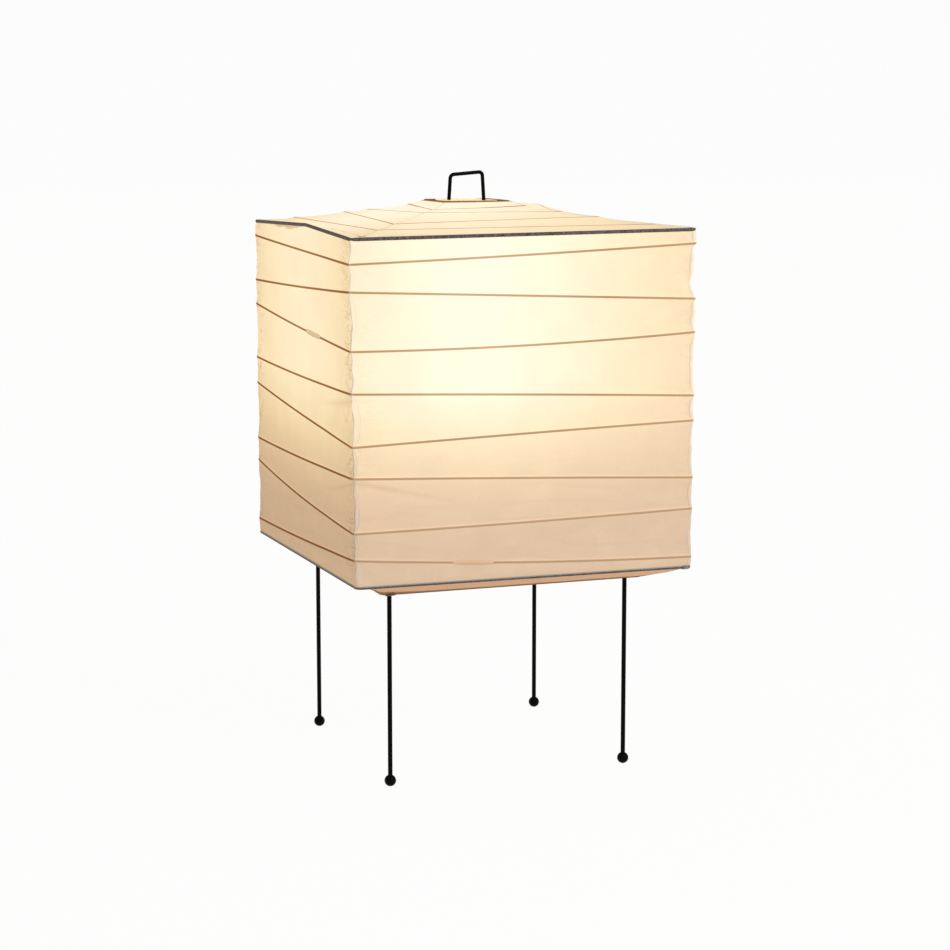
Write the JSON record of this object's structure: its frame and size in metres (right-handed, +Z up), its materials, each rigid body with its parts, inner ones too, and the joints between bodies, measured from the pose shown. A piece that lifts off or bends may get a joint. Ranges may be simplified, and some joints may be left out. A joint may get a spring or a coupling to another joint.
{
  "type": "paper table lamp",
  "caption": "Square paper shade on slanting ribs, hung from a wire stretcher with a carrying handle, over a wire base on slim legs with ball feet.",
  "frame": {"origin": "centre of the four ball feet, on the surface that the lamp stands on", "axes": "+Z up, front face towards -Y, +X to the right of someone facing the front"},
  "size_m": [0.26, 0.26, 0.4468],
  "materials": {
    "washi_paper": "matt, translucent",
    "bamboo_rib": "bare split bamboo",
    "edge_wire": "dark grey, dull",
    "black_enamel": "satin black",
    "nickel": "nickel plated",
    "phenolic": "moulded, satin",
    "steatite": "unglazed",
    "brass": "pressed sheet",
    "opal_glass": "opal, lit"
  },
  "bodies": {
    "lamp": {"ball_foot_back_left": "black_enamel", "ball_foot_back_right": "black_enamel", "ball_foot_front_left": "black_enamel", "ball_foot_front_right": "black_enamel", "base_rail_back": "black_enamel", "base_rail_front": "black_enamel", "base_rail_left": "black_enamel", "base_rail_right": "black_enamel", "centre_contact": "brass", "contact_block": "steatite", "cord_gland": "phenolic", "crown_wire": "bamboo_rib", "crown_yoke": "bamboo_rib", "eave_wire": "edge_wire", "holder_base": "phenolic", "holder_shell": "phenolic", "lamp_bridge": "black_enamel", "lamp_post": "nickel", "leg_back_left": "black_enamel", "leg_back_right": "black_enamel", "leg_front_left": "black_enamel", "leg_front_right": "black_enamel", "leg_socket_back_left": "black_enamel", "leg_socket_back_right": "black_enamel", "leg_socket_front_left": "black_enamel", "leg_socket_front_right": "black_enamel", "lock_nut": "nickel", "roof_paper_back": "washi_paper", "roof_paper_front": "washi_paper", "roof_paper_left": "washi_paper", "roof_paper_right": "washi_paper", "roof_rib_1": "bamboo_rib", "roof_rib_2": "bamboo_rib", "roof_rib_3": "bamboo_rib", "roof_rib_4": "bamboo_rib", "screw_liner": "brass", "side_paper_back": "washi_paper", "side_paper_front": "washi_paper", "side_paper_left": "washi_paper", "side_paper_right": "washi_paper", "stretcher_handle": "black_enamel"},
    "rib_1": {"side_rib_1": "bamboo_rib"},
    "rib_2": {"side_rib_2": "bamboo_rib"},
    "rib_3": {"side_rib_3": "bamboo_rib"},
    "rib_4": {"side_rib_4": "bamboo_rib"},
    "rib_5": {"side_rib_5": "bamboo_rib"},
    "rib_6": {"side_rib_6": "bamboo_rib"},
    "rib_7": {"side_rib_7": "bamboo_rib"},
    "rib_8": {"side_rib_8": "bamboo_rib"},
    "shade_bottom": {"hem_wire": "edge_wire", "lower_ring": "edge_wire", "under_paper_back": "washi_paper", "under_paper_front": "washi_paper", "under_paper_left": "washi_paper", "under_paper_right": "washi_paper"},
    "bulb": {"bulb_cap": "nickel", "bulb_contact": "nickel", "bulb_glass": "opal_glass", "bulb_insulator": "phenolic", "bulb_stem": "opal_glass"}
  },
  "joints": [
    {"name": "shade_fold_1", "type": "slide", "parent": "lamp", "child": "rib_1", "axis": [0, 0, 1], "range_m": [0, 0.0068]},
    {"name": "shade_fold_2", "type": "slide", "parent": "rib_1", "child": "rib_2", "axis": [0, 0, 1], "range_m": [0, 0.0176]},
    {"name": "shade_fold_3", "type": "slide", "parent": "rib_2", "child": "rib_3", "axis": [0, 0, 1], "range_m": [0, 0.0166]},
    {"name": "shade_fold_4", "type": "slide", "parent": "rib_3", "child": "rib_4", "axis": [0, 0, 1], "range_m": [0, 0.0278], "deforming": ["side_paper_front", "side_paper_right", "side_paper_back", "side_paper_left"]},
    {"name": "shade_fold_5", "type": "slide", "parent": "rib_4", "child": "rib_5", "axis": [0, 0, 1], "range_m": [0, 0.0164]},
    {"name": "shade_fold_6", "type": "slide", "parent": "rib_5", "child": "rib_6", "axis": [0, 0, 1], "range_m": [0, 0.0201]},
    {"name": "shade_fold_7", "type": "slide", "parent": "rib_6", "child": "rib_7", "axis": [0, 0, 1], "range_m": [0, 0.0154]},
    {"name": "shade_fold_8", "type": "slide", "parent": "rib_7", "child": "rib_8", "axis": [0, 0, 1], "range_m": [0, 0.0156]},
    {"name": "shade_fold_9", "type": "slide", "parent": "rib_8", "child": "shade_bottom", "axis": [0, 0, 1], "range_m": [0, 0.0053]},
    {"name": "bulb_withdraw", "type": "slide", "parent": "lamp", "child": "bulb", "axis": [0, 0, 1], "range_m": [0, 0.03]}
  ],
  "couplings": [
    {"joint": "shade_fold_1", "follows": "shade_fold_4", "ratio": 0.2446},
    {"joint": "shade_fold_2", "follows": "shade_fold_4", "ratio": 0.63309},
    {"joint": "shade_fold_3", "follows": "shade_fold_4", "ratio": 0.59712},
    {"joint": "shade_fold_5", "follows": "shade_fold_4", "ratio": 0.58992},
    {"joint": "shade_fold_6", "follows": "shade_fold_4", "ratio": 0.72302},
    {"joint": "shade_fold_7", "follows": "shade_fold_4", "ratio": 0.55395},
    {"joint": "shade_fold_8", "follows": "shade_fold_4", "ratio": 0.56115},
    {"joint": "shade_fold_9", "follows": "shade_fold_4", "ratio": 0.19064}
  ]
}
